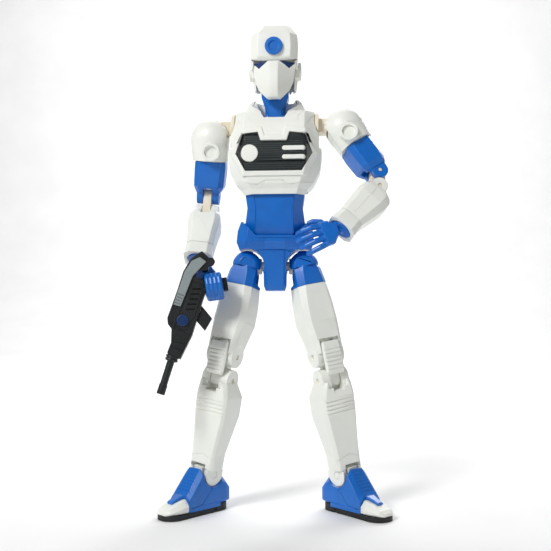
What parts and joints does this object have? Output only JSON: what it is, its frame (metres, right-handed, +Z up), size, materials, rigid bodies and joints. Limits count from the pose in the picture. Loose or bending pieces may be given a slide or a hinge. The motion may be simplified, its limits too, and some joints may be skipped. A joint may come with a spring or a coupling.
{
  "type": "articulated robot figure kit",
  "caption": "Articulated humanoid robot toy figure with snap-together white and blue shells on friction hinges, one hand on its hip and the other holding a removable toy blaster.",
  "frame": {"origin": "middle of the figure's footprint box, at the level of both soles", "axes": "+Z up, -Y the way the figure faces, +X the figure's own left"},
  "size_m": [0.1401, 0.0588, 0.3042],
  "materials": {
    "white_plastic": "semi-gloss moulded",
    "blue_plastic": "semi-gloss moulded",
    "cream_plastic": "satin moulded",
    "panel_plastic": "satin with fine lines",
    "dark_blue_plastic": "glossy",
    "black_plastic": "satin moulded",
    "sole_plastic": "satin moulded",
    "grey_plastic": "satin moulded",
    "steel": "plain"
  },
  "bodies": {
    "pelvis": {"pelvis_front": "blue_plastic", "pelvis_back": "blue_plastic", "hip_bar": "cream_plastic"},
    "abdomen": {"abdomen": "blue_plastic"},
    "chest": {"chest_front": "white_plastic", "chest_back": "white_plastic", "chest_panel": "panel_plastic", "chest_lights": "white_plastic", "chest_screws": "steel", "waist_pin": "cream_plastic"},
    "neck": {"neck": "blue_plastic"},
    "head": {"helmet": "white_plastic", "helmet_back": "white_plastic", "face_mask": "white_plastic", "eye_visor": "dark_blue_plastic", "forehead_lens": "blue_plastic", "ear_covers": "white_plastic"},
    "gun": {"gun_body": "black_plastic", "gun_cover": "grey_plastic", "gun_barrel": "black_plastic", "gun_dials": "dark_blue_plastic", "gun_magazine": "black_plastic"},
    "left_shoulder_joint": {"left_shoulder_joint": "cream_plastic"},
    "left_shoulder_cap": {"left_shoulder_cap": "white_plastic"},
    "left_upper_arm": {"left_upper_arm": "blue_plastic"},
    "left_elbow_link": {"left_elbow_link": "cream_plastic", "left_elbow_pins": "cream_plastic"},
    "left_forearm": {"left_forearm": "white_plastic", "left_wrist_cuff": "white_plastic"},
    "left_hand": {"left_hand": "blue_plastic"},
    "left_hip_joint": {"left_hip_joint": "cream_plastic"},
    "left_upper_thigh": {"left_upper_thigh": "blue_plastic"},
    "left_thigh": {"left_thigh": "white_plastic"},
    "left_knee_link": {"left_knee_link": "white_plastic", "left_knee_pins": "cream_plastic"},
    "left_shin": {"left_shin": "white_plastic"},
    "left_ankle_joint": {"left_ankle_joint": "white_plastic"},
    "left_foot": {"left_foot": "blue_plastic", "left_toe_cap": "white_plastic", "left_sole": "sole_plastic"},
    "right_shoulder_joint": {"right_shoulder_joint": "cream_plastic"},
    "right_shoulder_cap": {"right_shoulder_cap": "white_plastic"},
    "right_upper_arm": {"right_upper_arm": "blue_plastic"},
    "right_elbow_link": {"right_elbow_link": "cream_plastic", "right_elbow_pins": "cream_plastic"},
    "right_forearm": {"right_forearm": "white_plastic", "right_wrist_cuff": "white_plastic"},
    "right_hand": {"right_hand": "blue_plastic"},
    "right_hip_joint": {"right_hip_joint": "cream_plastic"},
    "right_upper_thigh": {"right_upper_thigh": "blue_plastic"},
    "right_thigh": {"right_thigh": "white_plastic"},
    "right_knee_link": {"right_knee_link": "white_plastic", "right_knee_pins": "cream_plastic"},
    "right_shin": {"right_shin": "white_plastic"},
    "right_ankle_joint": {"right_ankle_joint": "white_plastic"},
    "right_foot": {"right_foot": "blue_plastic", "right_toe_cap": "white_plastic", "right_sole": "sole_plastic"}
  },
  "joints": [
    {"name": "waist_turn", "type": "hinge", "parent": "pelvis", "child": "abdomen", "pos_m": [0, 0.0087, 0.16981], "axis": [0, 0, 1], "range_deg": [-6, 8]},
    {"name": "chest_tilt", "type": "hinge", "parent": "abdomen", "child": "chest", "pos_m": [0, 0.0087, 0.20681], "axis": [0.9986, -0.0523, 0], "range_deg": [-6, 6]},
    {"name": "neck_tilt", "type": "hinge", "parent": "chest", "child": "neck", "pos_m": [0, 0.0087, 0.24481], "axis": [0.9986, -0.0523, 0], "range_deg": [-5, 12]},
    {"name": "head_turn", "type": "hinge", "parent": "neck", "child": "head", "pos_m": [0, 0.0087, 0.26381], "axis": [0, 0, 1], "range_deg": [-45, 45]},
    {"name": "left_shoulder_swing", "type": "hinge", "parent": "chest", "child": "left_shoulder_joint", "pos_m": [0.03256, 0.00699, 0.24031], "axis": [-0.9986, 0.0523, 0], "range_deg": [-4, 60]},
    {"name": "left_shoulder_raise", "type": "hinge", "parent": "left_shoulder_joint", "child": "left_shoulder_cap", "pos_m": [0.03256, 0.00699, 0.24031], "axis": [-0.0517, -0.9863, 0.1564], "range_deg": [-6, 40]},
    {"name": "left_arm_turn", "type": "hinge", "parent": "left_shoulder_cap", "child": "left_upper_arm", "pos_m": [0.04363, 0.00607, 0.23817], "axis": [0.5516, -0.1588, -0.8188], "range_deg": [-50, 4]},
    {"name": "left_elbow_upper", "type": "hinge", "parent": "left_upper_arm", "child": "left_elbow_link", "pos_m": [0.06349, 0.00036, 0.2087], "axis": [-0.1798, 0.936, -0.3026], "range_deg": [-35, 12]},
    {"name": "left_elbow_lower", "type": "hinge", "parent": "left_elbow_link", "child": "left_forearm", "pos_m": [0.06294, -0.00312, 0.19827], "axis": [-0.1798, 0.936, -0.3026], "range_deg": [-35, 12]},
    {"name": "left_wrist_turn", "type": "hinge", "parent": "left_forearm", "child": "left_hand", "pos_m": [0.0396, -0.01591, 0.17257], "axis": [0.6309, 0.3457, 0.6946], "range_deg": [-20, 20]},
    {"name": "left_hip_swing", "type": "hinge", "parent": "pelvis", "child": "left_hip_joint", "pos_m": [0.0175, 0.0087, 0.15181], "axis": [-1, 0, 0], "range_deg": [-25, 45]},
    {"name": "left_hip_raise", "type": "hinge", "parent": "left_hip_joint", "child": "left_upper_thigh", "pos_m": [0.0175, 0.0087, 0.15181], "axis": [0, -0.9945, 0.1045], "range_deg": [-5, 15]},
    {"name": "left_thigh_turn", "type": "hinge", "parent": "left_upper_thigh", "child": "left_thigh", "pos_m": [0.02065, 0.00738, 0.13926], "axis": [-0.2419, 0.1014, 0.965], "range_deg": [-20, 5]},
    {"name": "left_knee_upper", "type": "hinge", "parent": "left_thigh", "child": "left_knee_link", "pos_m": [0.03129, 0.00292, 0.0968], "axis": [0.8794, 0.4432, 0.1739], "range_deg": [-5, 38]},
    {"name": "left_knee_lower", "type": "hinge", "parent": "left_knee_link", "child": "left_shin", "pos_m": [0.03426, 0.0028, 0.0821], "axis": [0.8794, 0.4432, 0.1739], "range_deg": [-5, 38]},
    {"name": "left_ankle_pitch", "type": "hinge", "parent": "left_shin", "child": "left_ankle_joint", "pos_m": [0.04319, 0.00788, 0.024], "axis": [0.7209, 0.672, 0.1695], "range_deg": [-8, 15]},
    {"name": "left_ankle_roll", "type": "hinge", "parent": "left_ankle_joint", "child": "left_foot", "pos_m": [0.04319, 0.00788, 0.024], "axis": [-0.6819, 0.7315, 0], "range_deg": [-6, 6]},
    {"name": "right_shoulder_swing", "type": "hinge", "parent": "chest", "child": "right_shoulder_joint", "pos_m": [-0.03256, 0.01041, 0.24031], "axis": [-0.9986, 0.0523, 0], "range_deg": [-2, 60]},
    {"name": "right_shoulder_raise", "type": "hinge", "parent": "right_shoulder_joint", "child": "right_shoulder_cap", "pos_m": [-0.03256, 0.01041, 0.24031], "axis": [0.0508, 0.969, 0.2419], "range_deg": [0, 60]},
    {"name": "right_arm_turn", "type": "hinge", "parent": "right_shoulder_cap", "child": "right_upper_arm", "pos_m": [-0.04112, 0.01262, 0.23325], "axis": [0.0744, -0.2452, 0.9666], "range_deg": [-30, 10]},
    {"name": "right_elbow_upper", "type": "hinge", "parent": "right_upper_arm", "child": "right_elbow_link", "pos_m": [-0.0438, 0.02144, 0.19845], "axis": [-0.9959, 0.0311, 0.0846], "range_deg": [-5, 35]},
    {"name": "right_elbow_lower", "type": "hinge", "parent": "right_elbow_link", "child": "right_forearm", "pos_m": [-0.04477, 0.01995, 0.1876], "axis": [-0.9959, 0.0311, 0.0846], "range_deg": [-5, 35]},
    {"name": "right_wrist_turn", "type": "hinge", "parent": "right_forearm", "child": "right_hand", "pos_m": [-0.04805, 0.00158, 0.15565], "axis": [-0.0888, -0.4967, -0.8634], "range_deg": [-30, 30]},
    {"name": "right_hip_swing", "type": "hinge", "parent": "pelvis", "child": "right_hip_joint", "pos_m": [-0.0175, 0.0087, 0.15181], "axis": [-1, 0, 0], "range_deg": [-25, 16]},
    {"name": "right_hip_raise", "type": "hinge", "parent": "right_hip_joint", "child": "right_upper_thigh", "pos_m": [-0.0175, 0.0087, 0.15181], "axis": [0, 0.9945, -0.1045], "range_deg": [-5, 15]},
    {"name": "right_thigh_turn", "type": "hinge", "parent": "right_upper_thigh", "child": "right_thigh", "pos_m": [-0.02065, 0.00738, 0.13926], "axis": [-0.2419, -0.1014, -0.965], "range_deg": [-20, 5]},
    {"name": "right_knee_upper", "type": "hinge", "parent": "right_thigh", "child": "right_knee_link", "pos_m": [-0.03129, 0.00292, 0.0968], "axis": [0.8794, -0.4432, -0.1739], "range_deg": [-5, 38]},
    {"name": "right_knee_lower", "type": "hinge", "parent": "right_knee_link", "child": "right_shin", "pos_m": [-0.03426, 0.0028, 0.0821], "axis": [0.8794, -0.4432, -0.1739], "range_deg": [-5, 38]},
    {"name": "right_ankle_pitch", "type": "hinge", "parent": "right_shin", "child": "right_ankle_joint", "pos_m": [-0.04319, 0.00788, 0.024], "axis": [0.7209, -0.672, -0.1695], "range_deg": [-8, 15]},
    {"name": "right_ankle_roll", "type": "hinge", "parent": "right_ankle_joint", "child": "right_foot", "pos_m": [-0.04319, 0.00788, 0.024], "axis": [0.6819, 0.7315, 0], "range_deg": [-6, 6]},
    {"name": "gun_slide", "type": "slide", "parent": "right_hand", "child": "gun", "axis": [-0.9818, -0.107, -0.1567], "range_m": [0, 0.02]}
  ]
}
